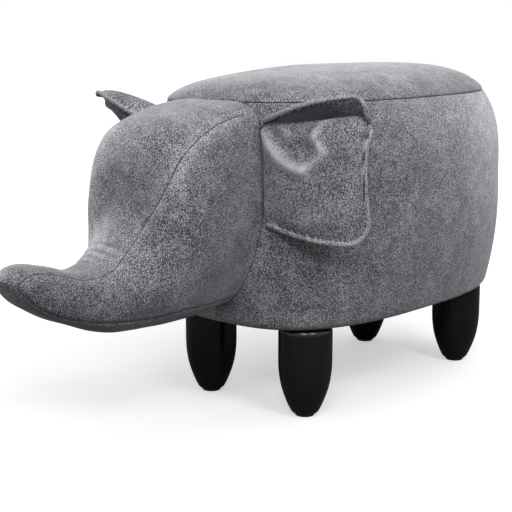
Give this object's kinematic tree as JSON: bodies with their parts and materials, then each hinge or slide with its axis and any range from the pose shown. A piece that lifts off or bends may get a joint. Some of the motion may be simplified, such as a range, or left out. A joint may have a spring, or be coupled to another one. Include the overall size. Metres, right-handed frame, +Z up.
{
  "type": "footstool",
  "caption": "Low upholstered footstool shaped as a standing elephant: oval padded seat, stuffed head with raised trunk, soft ears and short turned legs.",
  "frame": {"origin": "on the floor, under the middle of the overall box", "axes": "the head faces -Y, the elephant's left side is +X, +Z is up"},
  "size_m": [0.3727, 0.748, 0.385],
  "materials": {
    "grey_leather": "waxed, mottled grey leather with a low sheen",
    "black_lacquer": "satin black lacquer on turned wood",
    "black_nylon": "matt black nylon",
    "plywood": "plain birch plywood",
    "pine": "sawn pine",
    "foam": "cream polyurethane foam",
    "polyester_fibre": "white polyester fibre",
    "zinc_steel": "zinc-plated steel",
    "dust_cloth": "black non-woven cloth"
  },
  "bodies": {
    "stool": {"base_board": "plywood", "block_front_left": "pine", "block_front_right": "pine", "block_rear_left": "pine", "block_rear_right": "pine", "dust_cover": "dust_cloth", "foam_wrap_left": "foam", "foam_wrap_right": "foam", "glide_front_left": "black_nylon", "glide_front_right": "black_nylon", "glide_rear_left": "black_nylon", "glide_rear_right": "black_nylon", "head_filling": "polyester_fibre", "head_gusset": "grey_leather", "head_panel_left": "grey_leather", "head_panel_right": "grey_leather", "leg_bolt_front_left": "zinc_steel", "leg_bolt_front_right": "zinc_steel", "leg_bolt_rear_left": "zinc_steel", "leg_bolt_rear_right": "zinc_steel", "leg_front_left": "black_lacquer", "leg_front_right": "black_lacquer", "leg_rear_left": "black_lacquer", "leg_rear_right": "black_lacquer", "panel_front": "pine", "panel_rear": "pine", "rail_left": "pine", "rail_right": "pine", "screw_panel_front_left": "zinc_steel", "screw_panel_front_right": "zinc_steel", "screw_panel_rear_left": "zinc_steel", "screw_panel_rear_right": "zinc_steel", "screw_rail_left_front": "zinc_steel", "screw_rail_left_rear": "zinc_steel", "screw_rail_right_front": "zinc_steel", "screw_rail_right_rear": "zinc_steel", "screw_seat_front": "zinc_steel", "screw_seat_left": "zinc_steel", "screw_seat_rear": "zinc_steel", "screw_seat_right": "zinc_steel", "seat_board": "plywood", "seat_cover": "grey_leather", "seat_foam": "foam", "side_cover_left": "grey_leather", "side_cover_right": "grey_leather", "tee_nut_front_left": "zinc_steel", "tee_nut_front_right": "zinc_steel", "tee_nut_rear_left": "zinc_steel", "tee_nut_rear_right": "zinc_steel", "trunk_filling": "polyester_fibre"},
    "ear_left": {"ear_front_left": "grey_leather", "ear_back_left": "grey_leather", "ear_pad_left": "polyester_fibre"},
    "ear_right": {"ear_front_right": "grey_leather", "ear_back_right": "grey_leather", "ear_pad_right": "polyester_fibre"}
  },
  "joints": [
    {"name": "ear_left_swing", "type": "hinge", "parent": "stool", "child": "ear_left", "pos_m": [0.07283, -0.08468, 0.22502], "axis": [-0.0447, 0.0125, 0.9989], "range_deg": [-42, 24], "stiffness_Nm_per_rad": 0.15},
    {"name": "ear_right_swing", "type": "hinge", "parent": "stool", "child": "ear_right", "pos_m": [-0.07283, -0.08468, 0.22502], "axis": [0.0447, 0.0125, 0.9989], "range_deg": [-24, 42], "stiffness_Nm_per_rad": 0.15}
  ]
}
